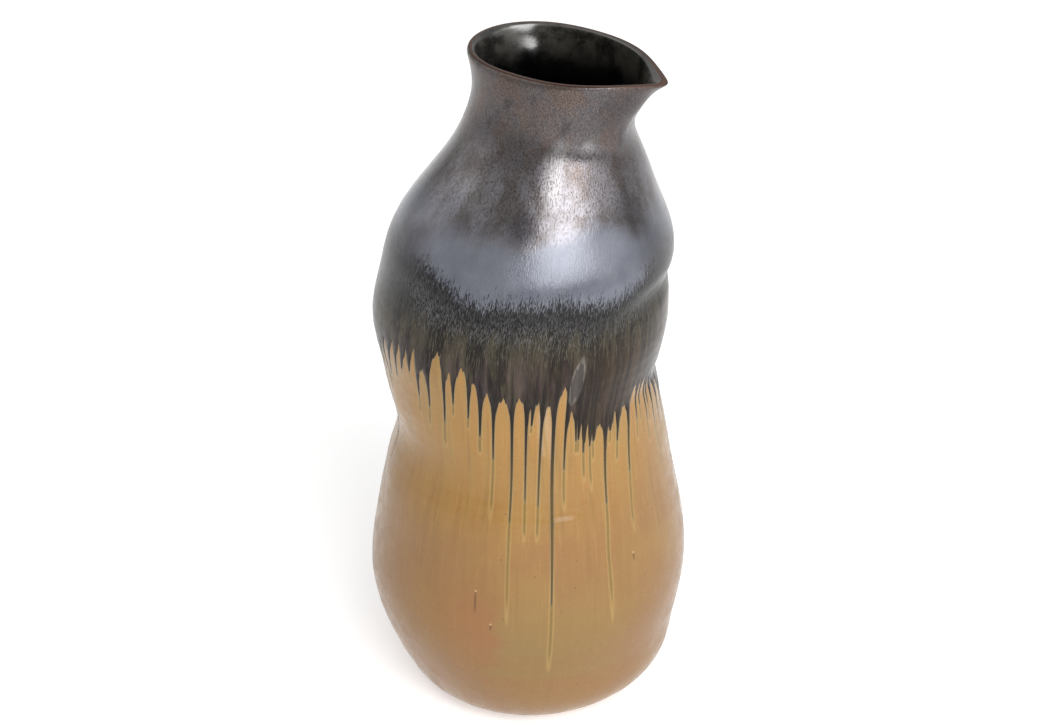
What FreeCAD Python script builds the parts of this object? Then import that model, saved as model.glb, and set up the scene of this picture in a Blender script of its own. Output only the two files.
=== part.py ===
import FreeCAD, Part
import Sketcher
import math
import os
from bisect import bisect_right

from FreeCAD import Placement, Vector

# Tall stoneware vase with a flared mouth and a pulled pouring spout.
# Five clay sections, luted together, carry an inside glaze, two outside glazes and the runs of the upper one.
# Frame: millimetres, origin at the centre of the foot on the table, +Z up, +X towards the tip of the spout.

doc = FreeCAD.newDocument("StonewareVase")

# ---------------------------------------------------------------- driving dimensions

# Levels of the thrown profile, from the table up.  Each gives the height, the mean radius of the glazed
# outside, how far the section's centre leans sideways, how oval it is and how thick the clay wall is there.
PROFILE_FIELDS = ("height", "radius", "lean", "oval", "wall")
PROFILE = {
    "base": (0, 60.5, 0, 0, 9.0),
    "heel": (10, 74, 1.5, 0, 9.0),
    "swell": (22, 83.5, 3, 0, 9.0),
    "haunch": (45, 92, 1, 0, 8.5),
    "belly": (85, 99.5, -0.5, 0, 7.5),
    "flank": (130, 94.5, 0.5, 0, 7.0),
    "taper": (160, 89, 0, 0, 7.0),
    "lower_waist": (185, 83, 1.5, 0, 7.0),
    "waist": (213, 82.5, -3, 0, 6.5),
    "upper_waist": (238, 85, -5, 0, 6.5),
    "bulge": (262, 89, -5, 0, 6.0),
    "crease": (290, 87, -2.5, 0, 6.0),
    "shoulder": (311, 85.5, 1, 0, 6.0),
    "slope": (340, 73.5, 4.5, 0, 5.5),
    "neck_root": (370, 56.5, 10, 0.02, 5.0),
    "neck": (392, 47.5, 12.5, 0.055, 4.5),
    "throat": (410, 48, 17, 0.075, 4.0),
    "lip": (430, 48, 15, 0.13, 3.6),
}

# Finger marks pressed into the wet wall: turn and height of the centre, half spreads, and depth.
DENT_FIELDS = ("turn", "height", "spread_turn", "spread_height", "depth")
DENTS = {
    "upper_thumb": (12, 292, 30, 7, 3.5),
    "lower_thumb": (25, 226, 30, 9, 2.5),
    "front_press": (-59, 70, 16, 16, 2.0),
    "side_press": (-141, 153, 14, 14, 1.5),
    "finger_tip": (-32, 260, 3, 9, 0.7),
}

# Runs of the upper glaze: turn at the start, start height, tip height, width, and how far a long run drifts
# sideways (degrees) before it falls straight.
RUN_FIELDS = ("turn", "start", "tip", "width", "drift")
RUNS = [
    (-110, 272, 239, 5.0, -5),
    (-97, 268, 230, 5.5, -4),
    (-84, 264, 220, 5.0, -5),
    (-69, 258, 214, 5.5, -5),
    (-57.5, 256, 180, 5.0, -6),
    (-51, 256, 178, 5.0, -6),
    (-45, 254, 180, 5.0, -7),
    (-39, 256, 58, 5.5, -7),
    (-32, 248, 177, 5.0, -8),
    (-16, 240, 104, 5.5, -8),
    (-2, 236, 170, 5.0, -8),
    (18, 238, 186, 5.0, -6),
    (41, 236, 118, 5.5, -4),
    (63, 236, 192, 5.0, -3),
    (88, 238, 88, 5.5, -2),
    (112, 240, 196, 5.0, -2),
    (134, 242, 132, 5.5, -2),
    (158, 248, 206, 5.0, -1),
    (181, 254, 96, 5.5, -2),
    (207, 262, 200, 5.0, -3),
    (231, 266, 152, 5.5, -4),
]

DIMENSIONS = {
    "vase_height": 430.0,
    "lean_turn": 36.0,
    # pulled spout
    "spout_reach": 24.5,
    "spout_turn": 16.0,
    "spout_tip_turn": 3.0,
    "spout_drop": 13.0,
    "spout_thickening": 3.0,
    # rounded lip
    "lip_round": 2.5,
    "lip_edge": 1.2,
    # glaze
    "glaze_coat": 0.8,
    "glaze_foot_gap": 5.5,
    "liner_coat": 0.5,
    "glaze_line_height": 232.0,
    "glaze_line_tilt": 22.0,
    "glaze_line_turn": -125.0,
    "glaze_line_wave": 3.0,
    "run_proud": 1.0,
    "run_settling": 30.0,
    # foot ring and floor
    "foot_outer": 60.0,
    "foot_inner": 51.0,
    "foot_depth": 4.0,
    "foot_batter": 1.5,
    "foot_wipe": 1.2,
    "floor_seat": 60.0,
    "floor_rise": 3.0,
    "floor_radius": 58.0,
    "floor_thickness": 8.0,
    "corner_round": 12.0,
    # luted seams between the thrown sections
    "waist_seam": 200.0,
    "waist_seam_radius": 83.0,
    "neck_seam": 378.0,
    "neck_seam_radius": 53.0,
    "seam_bevel": 0.4,
    "clearing_radius": 150.0,
    "clearing_bore": 25.0,
    "clearing_depth": 5.0,
}


def all_cells():
    """Every driving dimension by the name of its cell."""
    cells = dict(DIMENSIONS)
    for level, values in PROFILE.items():
        cells.update((f"{level}_{field}", value) for field, value in zip(PROFILE_FIELDS, values))
    for dent, values in DENTS.items():
        cells.update((f"{dent}_{field}", value) for field, value in zip(DENT_FIELDS, values))
    for index, values in enumerate(RUNS):
        cells.update((f"run{index:02d}_{field}", value) for field, value in zip(RUN_FIELDS, values))
    return cells


def make_sheet():
    """Put the driving dimensions into a spreadsheet, one aliased cell a row."""
    new_sheet = doc.addObject("Spreadsheet::Sheet", "dims")
    for row, (name, value) in enumerate(all_cells().items(), start=1):
        new_sheet.set(f"A{row}", name)
        new_sheet.set(f"B{row}", str(value))
        new_sheet.setAlias(f"B{row}", name)
    doc.recompute()
    return new_sheet


sheet = make_sheet()


def dim(name):
    """Read one driving dimension from the sheet."""
    return float(getattr(sheet, name))


# ---------------------------------------------------------------- shape of the wall


def natural_spline(places, values):
    """Return the natural cubic spline through the values as a function of place."""
    last = len(places) - 1
    steps = [places[i + 1] - places[i] for i in range(last)]
    slopes = [(values[i + 1] - values[i]) / steps[i] for i in range(last)]
    upper = [0.0] * (last + 1)
    right = [0.0] * (last + 1)
    for i in range(1, last):
        pivot = 2.0 * (steps[i - 1] + steps[i]) - steps[i - 1] * upper[i - 1]
        upper[i] = steps[i] / pivot
        right[i] = (6.0 * (slopes[i] - slopes[i - 1]) - steps[i - 1] * right[i - 1]) / pivot
    bends = [0.0] * (last + 1)
    for i in range(last - 1, 0, -1):
        bends[i] = right[i] - upper[i] * bends[i + 1]

    def value_at(place):
        i = max(0, min(last - 1, bisect_right(places, place) - 1))
        above = (places[i + 1] - place) / steps[i]
        below = (place - places[i]) / steps[i]
        straight = above * values[i] + below * values[i + 1]
        curved = (above**3 - above) * bends[i] + (below**3 - below) * bends[i + 1]
        return straight + curved * steps[i] ** 2 / 6.0

    return value_at


def profile_curve(field):
    """Spline of one profile field over the height."""
    heights = [dim(f"{level}_height") for level in PROFILE]
    return natural_spline(heights, [dim(f"{level}_{field}") for level in PROFILE])


mean_radius = profile_curve("radius")
section_lean = profile_curve("lean")
section_oval = profile_curve("oval")
clay_wall = profile_curve("wall")
dents = [tuple(dim(f"{dent}_{field}") for field in DENT_FIELDS) for dent in DENTS]
VASE_HEIGHT = dim("vase_height")


def turn_between(turn, centre):
    """Signed angle in degrees from centre to turn, between -180 and 180."""
    return (turn - centre + 180.0) % 360.0 - 180.0


def spout_share(turn, height):
    """How strongly the pulled spout shows: 1 at its tip on the lip, fading around and down the neck."""
    tip = dim("spout_tip_turn")
    away = math.hypot(turn_between(turn, 0.0), tip) - tip
    return math.exp(-away / dim("spout_turn")) * math.exp(-(VASE_HEIGHT - height) / dim("spout_drop"))


def dent_depth(turn, height):
    """Depth of the finger marks at one place on the wall."""
    depth = 0.0
    for centre, level, spread_turn, spread_height, deepest in dents:
        across = turn_between(turn, centre) / spread_turn
        along = (height - level) / spread_height
        depth += deepest * math.exp(-(across**2) - along**2)
    return depth


def outside_radius(turn, height):
    """Radius of the glazed outside, measured from the centre of its own section."""
    oval = 1.0 + section_oval(height) * math.cos(2.0 * math.radians(turn))
    spout = dim("spout_reach") * spout_share(turn, height)
    return mean_radius(height) * oval - dent_depth(turn, height) + spout


def clay_inside_radius(turn, height):
    """Radius of the clay wall's inner face."""
    wall = clay_wall(height) + dim("spout_thickening") * spout_share(turn, height)
    return outside_radius(turn, height) - dim("glaze_coat") - wall


def wall_point(turn, height, radius):
    """Point at a radius from the leaning centre of the section at this height."""
    lean = section_lean(min(height, VASE_HEIGHT))
    lean_turn = math.radians(dim("lean_turn"))
    angle = math.radians(turn)
    return Vector(
        lean * math.cos(lean_turn) + radius * math.cos(angle),
        lean * math.sin(lean_turn) + radius * math.sin(angle),
        height,
    )


# ---------------------------------------------------------------- surfaces and solids from rings

RING_POINTS = 84
RING_CROWDING = 40.0
ROW_STEP = 4.5
LIP_ROW_STEP = 2.5
ROUND_ROWS = 6


def ring_turns():
    """Angles of a ring's points, crowded round the spout where the outline turns sharply."""
    shares = [point / RING_POINTS for point in range(RING_POINTS)]
    return [360.0 * share - RING_CROWDING * math.sin(2.0 * math.pi * share) for share in shares]


def ring(height, radius_at):
    """One closed ring of points around the vase at a height."""
    return [wall_point(turn, height, radius_at(turn)) for turn in ring_turns()]


def even_heights(low, high, step):
    """Heights from low to high, both included, about one step apart."""
    count = max(1, round((high - low) / step))
    return [low + (high - low) * index / count for index in range(count + 1)]


def row_heights(low, high):
    """Heights of the rings, closer together in the flare of the neck."""
    throat = dim("throat_height")
    return even_heights(low, throat, ROW_STEP)[:-1] + even_heights(throat, high, LIP_ROW_STEP)


def row_places(rows):
    """Share of the way up for each row, by the mean distance between rows."""
    places = [0.0]
    for lower, upper in zip(rows, rows[1:]):
        gap = sum((b - a).Length for a, b in zip(lower, upper)) / len(lower)
        places.append(places[-1] + gap)
    return [place / places[-1] for place in places]


def surface_through(rows, closed, along):
    """B-spline surface through rows of points, closed around the rows or open; along places the rows."""
    pieces = len(rows[0]) if closed else len(rows[0]) - 1
    across = [point / pieces for point in range(pieces + 1)]
    row_curves = []
    for row in rows:
        curve = Part.BSplineCurve()
        curve.interpolate(Points=row, PeriodicFlag=closed, Parameters=across)
        row_curves.append(curve)
    columns = []
    for column_poles in zip(*(curve.getPoles() for curve in row_curves)):
        column = Part.BSplineCurve()
        column.interpolate(Points=list(column_poles), Parameters=along)
        columns.append(column)
    surface = Part.BSplineSurface()
    surface.buildFromPolesMultsKnots(
        [column.getPoles() for column in columns],
        row_curves[0].getMultiplicities(),
        columns[0].getMultiplicities(),
        row_curves[0].getKnots(),
        columns[0].getKnots(),
        closed,
        False,
        row_curves[0].Degree,
        columns[0].Degree,
    )
    return surface


def solid_from(faces):
    """Sew faces into one closed solid with its skin facing outwards."""
    shell = Part.makeShell(faces)
    shell.sewShape()
    if shell.ShapeType != "Shell":
        shell = shell.Shells[0]
    solid = Part.makeSolid(shell)
    if solid.Volume < 0:
        solid.reverse()
    return solid


def turned_solid(rows):
    """Solid whose side passes through rings of points, closed by flat ends."""
    side = surface_through(rows, True, row_places(rows)).toShape()
    ends = [Part.Face(Part.Wire([edge])) for edge in side.Edges if edge.isClosed()]
    return solid_from([side] + ends)


def add_shape(name, shape):
    """Put a finished shape into the document."""
    feature = doc.addObject("Part::Feature", name)
    feature.Shape = shape
    feature.Placement = Placement()
    return feature


# ---------------------------------------------------------------- the skins the wall is cut from


def lip_rows(inset_at_lip, inset_sign, radius_at):
    """Rings that round the lip over to its flat crown."""
    rounding = dim("lip_round")
    rows = []
    for index in range(1, ROUND_ROWS):
        angle = 0.5 * math.pi * index / (ROUND_ROWS - 1)
        height = VASE_HEIGHT - rounding * (1.0 - math.sin(angle))
        inset = inset_at_lip + inset_sign * dim("lip_edge") * (1.0 - math.cos(angle))
        rows.append(ring(height, lambda turn: radius_at(turn, height) - inset))
    return rows


def glazed_outside():
    """Everything within the outside of the glaze, from its edge above the foot to the lip."""
    heights = row_heights(dim("glaze_foot_gap"), VASE_HEIGHT - dim("lip_round"))
    return turned_solid([ring(z, lambda turn: outside_radius(turn, z)) for z in heights])


def clay_outside():
    """Everything within the outside of the clay, with a rounded lip."""
    coat = dim("glaze_coat")
    heights = row_heights(dim("foot_depth"), VASE_HEIGHT - dim("lip_round"))
    rows = [ring(z, lambda turn: outside_radius(turn, z) - coat) for z in heights]
    return turned_solid(rows + lip_rows(coat, 1.0, outside_radius))


def cavity(coat):
    """The hollow of the vase, narrowed by a coat, with a rounded corner at the floor and an open top."""
    floor = dim("foot_depth") + dim("floor_thickness") + coat
    corner_top = dim("foot_depth") + dim("floor_thickness") + dim("corner_round")
    overhang = clay_inside_radius(180.0, corner_top) - dim("floor_radius")
    rows = []
    for index in range(ROUND_ROWS):
        angle = 0.5 * math.pi * index / ROUND_ROWS
        height = corner_top - (corner_top - floor) * math.cos(angle)
        inset = overhang * (1.0 - math.sin(angle)) + coat
        rows.append(ring(height, lambda turn: clay_inside_radius(turn, corner_top) - inset))
    for z in row_heights(corner_top, VASE_HEIGHT - dim("lip_round")):
        rows.append(ring(z, lambda turn: clay_inside_radius(turn, z) - coat))
    return turned_solid(rows + lip_rows(coat, -1.0, clay_inside_radius))


def glaze_line(turn):
    """Height of the wavy line where the upper glaze ends on the lower one."""
    swing = math.radians(turn - dim("glaze_line_turn"))
    wave = dim("glaze_line_wave") * math.cos(5.0 * swing)
    return dim("glaze_line_height") + dim("glaze_line_tilt") * math.cos(swing) + wave


def line_curve(radius, height_at):
    """Closed curve around the vase at a radius, following a height."""
    turns = [360.0 * point / RING_POINTS for point in range(RING_POINTS)]
    points = []
    for turn in turns:
        angle = math.radians(turn)
        points.append(Vector(radius * math.cos(angle), radius * math.sin(angle), height_at(turn)))
    curve = Part.BSplineCurve()
    curve.interpolate(Points=points, PeriodicFlag=True)
    return curve.toShape()


def below_glaze_line():
    """Thick-walled ring of space below the glaze line, wide enough to hold the whole wall."""
    outer = dim("clearing_radius")
    inner = dim("clearing_bore")
    corners = [
        line_curve(inner, glaze_line),
        line_curve(outer, glaze_line),
        line_curve(outer, lambda turn: -dim("clearing_depth")),
        line_curve(inner, lambda turn: -dim("clearing_depth")),
    ]
    pairs = zip(corners, corners[1:] + corners[:1])
    return solid_from([Part.makeRuledSurface(first, second) for first, second in pairs])


# ---------------------------------------------------------------- runs of the upper glaze

RUN_ACROSS = 9
RUN_STEP = 5.0
RUN_SHOULDER = 0.12
RUN_FLARE = 0.6
RUN_END = 0.12
RUN_SLIVER = 0.08


def run_half_width(share, width):
    """Half width of a run: flared where it leaves the coat, rounded off at its tip."""
    flare = 1.0 + RUN_FLARE * math.exp(-share / RUN_SHOULDER)
    left = min(1.0, (1.0 - share) / RUN_END)
    return 0.5 * width * max(RUN_SLIVER, flare * math.sqrt(left * (2.0 - left)))


def run_lens(turn, start, tip, width, drift):
    """One run of glaze: a thin lens on the wall, from its start down to its tip."""
    heights = even_heights(tip, start, RUN_STEP)
    faces = []
    backs = []
    for height in heights:
        share = (start - height) / (start - tip)
        middle = turn + drift * (1.0 - math.exp((height - start) / dim("run_settling")))
        half_width = run_half_width(share, width)
        swell = dim("run_proud") * math.sin(math.pi * share) ** 0.5 if 0.0 < share < 1.0 else 0.0
        face, back = [], []
        for point in range(RUN_ACROSS):
            across = 2.0 * point / (RUN_ACROSS - 1) - 1.0
            at = middle + math.degrees(across * half_width / mean_radius(height))
            radius = outside_radius(at, height)
            face.append(wall_point(at, height, radius + swell * (1.0 - across**2)))
            back.append(wall_point(at, height, radius))
        faces.append(face)
        backs.append(back)
    along = row_places(backs)
    return solid_from([surface_through(rows, False, along).toShape() for rows in (faces, backs)])


def all_runs():
    """Every run of glaze, as a group of separate solids."""
    names = [f"run{index:02d}" for index in range(len(RUNS))]
    return Part.makeCompound([run_lens(*(dim(f"{name}_{field}") for field in RUN_FIELDS)) for name in names])


# ---------------------------------------------------------------- sketched bodies


def origin_feature(body, role):
    """The body's own origin plane or axis with this role."""
    return next(item for item in body.Origin.OriginFeatures if item.Role == role)


def profile_sketch(body, name, corners):
    """Closed outline in the body's XZ plane; each corner's distances are bound to expressions."""
    sketch = body.newObject("Sketcher::SketchObject", name)
    sketch.AttachmentSupport = [(origin_feature(body, "XZ_Plane"), "")]
    sketch.MapMode = "FlatFace"
    places = [Vector(across, up, 0) for across, up, _, _ in corners]
    for start, end in zip(places, places[1:] + places[:1]):
        sketch.addGeometry(Part.LineSegment(start, end), False)
    count = len(corners)
    for index in range(count):
        sketch.addConstraint(Sketcher.Constraint("Coincident", index, 2, (index + 1) % count, 1))
    for index, (across, up, across_cell, up_cell) in enumerate(corners):
        bind_corner(sketch, index, "X", across, across_cell)
        bind_corner(sketch, index, "Y", up, up_cell)
    return sketch


def bind_corner(sketch, index, letter, distance, expression):
    """Fix one coordinate of a corner: on the axis where it is zero, otherwise by a bound distance."""
    if expression is None:
        axis = -2 if letter == "X" else -1
        sketch.addConstraint(Sketcher.Constraint("PointOnObject", index, 1, axis))
        return
    name = f"corner{index}{letter}"
    sketch.addConstraint(Sketcher.Constraint(f"Distance{letter}", -1, 1, index, 1, distance))
    sketch.renameConstraint(sketch.ConstraintCount - 1, name)
    sketch.setExpression(f"Constraints.{name}", expression)


def revolved_body(name, corners):
    """Body turned from an outline round the vase's upright axis."""
    body = doc.addObject("PartDesign::Body", name)
    sketch = profile_sketch(body, f"{name}_outline", corners)
    revolution = body.newObject("PartDesign::Revolution", f"{name}_turned")
    revolution.Profile = sketch
    revolution.ReferenceAxis = (sketch, ["V_Axis"])
    revolution.Angle = 360.0
    body.Tip = revolution
    doc.recompute()
    return body


def corner(across_expression, up_expression):
    """A corner of an outline: its distances now, and the expressions that drive them."""
    return (
        evaluate(across_expression),
        evaluate(up_expression),
        across_expression,
        up_expression,
    )


def evaluate(expression):
    """Value of a sum of cells, such as dims.a + dims.b; nothing stands for zero."""
    if expression is None:
        return 0.0
    return sum(dim(term.strip().removeprefix("dims.")) for term in expression.split("+"))


def make_foot_ring():
    """Bare clay ring that the vase stands on, its lower edges wiped round."""
    corners = [
        corner("dims.foot_inner", None),
        corner("dims.foot_outer", None),
        corner("dims.foot_outer + dims.foot_batter", "dims.foot_depth"),
        corner("dims.foot_inner", "dims.foot_depth"),
    ]
    body = revolved_body("foot_ring", corners)
    turned = body.Tip
    lower_edges = [
        f"Edge{number}"
        for number, edge in enumerate(turned.Shape.Edges, start=1)
        if edge.BoundBox.ZMax < dim("foot_wipe") and edge.isClosed()
    ]
    wipe = body.newObject("PartDesign::Fillet", "foot_ring_wiped")
    wipe.Base = (turned, lower_edges)
    wipe.setExpression("Radius", "dims.foot_wipe")
    body.Tip = wipe
    return body


def make_floor_slab():
    """Round slab of clay that closes the bottom, its edge sloped to sit in the wall."""
    corners = [
        corner(None, "dims.foot_depth"),
        corner("dims.floor_seat", "dims.foot_depth"),
        corner("dims.floor_seat + dims.floor_rise", "dims.foot_depth + dims.floor_thickness"),
        corner(None, "dims.foot_depth + dims.floor_thickness"),
    ]
    return revolved_body("floor_slab", corners)


# ---------------------------------------------------------------- cutting the wall into its pieces


def bevelled_space(name, seam, seam_radius):
    """Space below a bevelled seam: a cylinder under a cone that rises towards the axis."""
    base = f"dims.{seam} - dims.seam_bevel * (dims.clearing_radius - dims.{seam_radius})"
    cylinder = doc.addObject("Part::Cylinder", f"{name}_cylinder")
    cylinder.setExpression("Radius", "dims.clearing_radius")
    cylinder.setExpression("Height", base)
    cone = doc.addObject("Part::Cone", f"{name}_cone")
    cone.setExpression("Radius1", "dims.clearing_radius")
    cone.Radius2 = 0.0
    cone.setExpression("Height", "dims.seam_bevel * dims.clearing_radius")
    cone.setExpression("Placement.Base.z", base)
    return join("Part::Fuse", name, cylinder, cone)


def join(kind, name, base, tool):
    """Boolean of two document objects: Part::Cut, Part::Common or Part::Fuse."""
    boolean = doc.addObject(kind, name)
    boolean.Base = base
    boolean.Tool = tool
    return boolean


def clay_sections(foot_ring, floor_slab):
    """The thrown wall, hollowed out and parted at its two luted seams."""
    skin = add_shape("clay_skin", clay_outside())
    hollow = add_shape("clay_hollow", cavity(0.0))
    shell = join("Part::Cut", "clay_shell", skin, hollow)
    below_waist = bevelled_space("below_waist_seam", "waist_seam", "waist_seam_radius")
    below_neck = bevelled_space("below_neck_seam", "neck_seam", "neck_seam_radius")
    lower_blank = join("Part::Common", "lower_blank", shell, below_waist)
    upper_blank = join("Part::Cut", "upper_blank", shell, below_waist)
    return {
        "foot_ring": foot_ring,
        "floor_slab": floor_slab,
        "lower_wall": join("Part::Cut", "lower_wall", lower_blank, floor_slab),
        "upper_wall": join("Part::Common", "upper_wall", upper_blank, below_neck),
        "neck_collar": join("Part::Cut", "neck_collar", shell, below_neck),
    }


def inside_glaze():
    """Thin coat all over the hollow, up to the rounded lip."""
    reach = doc.addObject("Part::Cylinder", "liner_reach")
    reach.setExpression("Radius", "dims.clearing_radius")
    reach.setExpression("Height", "dims.vase_height - dims.lip_round")
    blank = join("Part::Common", "liner_blank", doc.clay_hollow, reach)
    hollow = add_shape("liner_hollow", cavity(dim("liner_coat")))
    return {"liner_glaze": join("Part::Cut", "liner_glaze", blank, hollow)}


def outside_glazes():
    """The lower and upper coats, which meet at the glaze line, and the runs over them."""
    skin = add_shape("glazed_skin", glazed_outside())
    coat = join("Part::Cut", "outer_coat", skin, doc.clay_skin)
    below = add_shape("below_glaze_line", below_glaze_line())
    return {
        "tan_glaze": join("Part::Common", "tan_glaze", coat, below),
        "bronze_glaze": join("Part::Cut", "bronze_glaze", coat, below),
        "glaze_runs": add_shape("glaze_runs", all_runs()),
    }


# ---------------------------------------------------------------- check and write


def check_pieces(pieces):
    """Stop if any object failed to build, or if a piece isn't a sound shape."""
    for item in doc.Objects:
        if {"Invalid", "Error"} & set(item.State):
            raise RuntimeError(f"{item.Name} failed to recompute: {item.State}")
    for name, piece in pieces.items():
        if piece.Shape.isNull() or not piece.Shape.isValid():
            raise RuntimeError(f"{name} has no valid shape")


def write_pieces(pieces):
    """Write one STEP file for each piece, named by its label."""
    os.makedirs("parts", exist_ok=True)
    for name, piece in pieces.items():
        piece.Label = name
        piece.Shape.exportStep(f"parts/{piece.Label}.step")
        box = piece.Shape.BoundBox
        volume = piece.Shape.Volume / 1000.0
        print(f"{name}: {len(piece.Shape.Solids)} solids, {volume:.1f} cm3, z {box.ZMin:.1f} to {box.ZMax:.1f}")


pieces = clay_sections(make_foot_ring(), make_floor_slab())
pieces.update(inside_glaze())
pieces.update(outside_glazes())
doc.recompute()
check_pieces(pieces)
write_pieces(pieces)
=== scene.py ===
import math

import bpy
import numpy as np
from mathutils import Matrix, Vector


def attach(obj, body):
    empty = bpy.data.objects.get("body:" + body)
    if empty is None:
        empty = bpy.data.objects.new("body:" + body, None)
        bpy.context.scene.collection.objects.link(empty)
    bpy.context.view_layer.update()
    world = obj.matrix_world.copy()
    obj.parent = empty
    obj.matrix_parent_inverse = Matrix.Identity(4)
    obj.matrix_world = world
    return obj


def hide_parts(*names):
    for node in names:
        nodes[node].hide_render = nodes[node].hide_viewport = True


# Looks of a tall stoneware vase: its glaze coats, with the fringe of runs, around the packed clay sections.
# Shapes are worked out in millimetres and degrees and turned into metres when a mesh is made.

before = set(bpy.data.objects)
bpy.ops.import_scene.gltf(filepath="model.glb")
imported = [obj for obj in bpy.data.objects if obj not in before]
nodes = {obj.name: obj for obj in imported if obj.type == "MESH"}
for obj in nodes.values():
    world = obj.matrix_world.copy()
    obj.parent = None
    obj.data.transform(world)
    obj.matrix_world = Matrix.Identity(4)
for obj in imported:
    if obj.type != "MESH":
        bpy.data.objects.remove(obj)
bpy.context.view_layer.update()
MM = 0.001

# ---- the thrown shape

# height, mean radius of the glazed outside, sideways lean, ovalness, clay wall
LEVELS = (
    (0, 60.5, 0, 0, 9.0),
    (10, 74, 1.5, 0, 9.0),
    (22, 83.5, 3, 0, 9.0),
    (45, 92, 1, 0, 8.5),
    (85, 99.5, -0.5, 0, 7.5),
    (130, 94.5, 0.5, 0, 7.0),
    (160, 89, 0, 0, 7.0),
    (185, 83, 1.5, 0, 7.0),
    (213, 82.5, -3, 0, 6.5),
    (238, 85, -5, 0, 6.5),
    (262, 89, -5, 0, 6.0),
    (290, 87, -2.5, 0, 6.0),
    (311, 85.5, 1, 0, 6.0),
    (340, 73.5, 4.5, 0, 5.5),
    (370, 56.5, 10, 0.02, 5.0),
    (392, 47.5, 12.5, 0.055, 4.5),
    (410, 48, 17, 0.075, 4.0),
    (430, 48, 15, 0.13, 3.6),
)

# Finger marks: turn, height, spread around, spread up and down, depth
DENTS = (
    (12, 292, 30, 7, 3.5),
    (25, 226, 30, 9, 2.5),
    (-59, 70, 16, 16, 2.0),
    (-141, 153, 14, 14, 1.5),
    (-32, 260, 3, 9, 0.7),
)

VASE_HEIGHT = 430.0
LEAN_TURN = 36.0
SPOUT_REACH = 24.5
SPOUT_TURN = 16.0
SPOUT_TIP_TURN = 3.0
SPOUT_DROP = 13.0
SPOUT_THICKENING = 3.0
LIP_ROUND = 2.5
LIP_BASE = VASE_HEIGHT - LIP_ROUND
LIP_EDGE = 1.2
GLAZE_COAT = 0.8
LINER_COAT = 0.5
FLOOR_TOP = 12.0
FLOOR_RADIUS = 58.0
CORNER_ROUND = 12.0


def natural_spline(places, values):
    """Natural cubic spline through the values."""
    places = np.array(places, float)
    values = np.array(values, float)
    steps = np.diff(places)
    slopes = np.diff(values) / steps
    matrix = np.eye(len(places))
    right = np.zeros(len(places))
    for i in range(1, len(places) - 1):
        matrix[i, i - 1 : i + 2] = steps[i - 1], 2.0 * (steps[i - 1] + steps[i]), steps[i]
        right[i] = 6.0 * (slopes[i] - slopes[i - 1])
    bends = np.linalg.solve(matrix, right)

    def value_at(place):
        i = np.clip(np.searchsorted(places, place, side="right") - 1, 0, len(steps) - 1)
        above = (places[i + 1] - place) / steps[i]
        below = (place - places[i]) / steps[i]
        curved = (above**3 - above) * bends[i] + (below**3 - below) * bends[i + 1]
        return above * values[i] + below * values[i + 1] + curved * steps[i] ** 2 / 6.0

    return value_at


heights_of_levels, *fields_of_levels = zip(*LEVELS)
mean_radius, section_lean, section_oval, clay_wall = (
    natural_spline(heights_of_levels, field) for field in fields_of_levels
)


def turn_between(turn, centre):
    """Signed angle in degrees from centre to turn."""
    return (turn - centre + 180.0) % 360.0 - 180.0


def arc(turn, centre, radius):
    """Signed distance round a circle from centre to turn, in millimetres."""
    return np.radians(turn_between(turn, centre)) * radius


def away_from(turn, height, centre, level, spread_turn, spread_height):
    """Distance from a place on the wall, counted in its own spreads."""
    return np.hypot(turn_between(turn, centre) / spread_turn, (height - level) / spread_height)


def soft_spot(turn, height, *place):
    """Share of a soft spot on the wall, 1 in its middle."""
    return np.exp(-(away_from(turn, height, *place) ** 2))


def soft_step(value):
    """Soft step from 0 well below zero to 1 well above it."""
    return 0.5 + 0.5 * np.tanh(value)


def ramp(value, start, end):
    """Share of the way from start to end, kept between 0 and 1."""
    return np.clip((value - start) / (end - start), 0.0, 1.0)


def spout_share(turn, height):
    """How strongly the pulled spout shows, 0 to 1."""
    away = np.hypot(turn_between(turn, 0.0), SPOUT_TIP_TURN) - SPOUT_TIP_TURN
    return np.exp(-away / SPOUT_TURN) * np.exp(-(VASE_HEIGHT - height) / SPOUT_DROP)


def outside_radius(turn, height):
    """Radius of the glazed outside from the centre of its own section."""
    radius = mean_radius(height) * (1.0 + section_oval(height) * np.cos(2.0 * np.radians(turn)))
    for *place, depth in DENTS:
        radius = radius - depth * soft_spot(turn, height, *place)
    return radius + SPOUT_REACH * spout_share(turn, height)


def inside_radius(turn, height):
    """Radius of the clay wall's inner face."""
    wall = clay_wall(height) + SPOUT_THICKENING * spout_share(turn, height)
    return outside_radius(turn, height) - GLAZE_COAT - wall


def wall_points(turn, height, radius):
    """Points at a radius from the leaning section centres, one row of x, y, z each."""
    lean = section_lean(height)
    lean_angle = math.radians(LEAN_TURN)
    angle = np.radians(turn)
    x = lean * math.cos(lean_angle) + radius * np.cos(angle)
    y = lean * math.sin(lean_angle) + radius * np.sin(angle)
    return np.stack(np.broadcast_arrays(x, y, height), axis=-1)


# ---- hand-made unevenness

RELIEF_SEED = 11
RELIEF_WAVES = 14
RELIEF_DEPTH = 0.30
RELIEF_WAVE = 55.0
RING_DEPTH = 0.04
RING_PITCH = 8.5

# Heights between which the unevenness fades in above the foot, and fades out towards the lip
RELIEF_FADE_IN = (5.0, 17.0)
RELIEF_FADE_OUT = (412.0, 382.0)

# Small marks of a touch: turn, height, half size around, half size up and down, rise
TOUCHES = (
    (-32.2, 259, 2.5, 14, -0.32),
    (-40, 163, 5.5, 2.6, 1.1),
    (-83, 331, 5, 7, -0.25),
    (60, 318, 4, 12, -0.3),
    (150, 190, 7, 6, 0.35),
)
TOUCH_EDGE = 2.2

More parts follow.
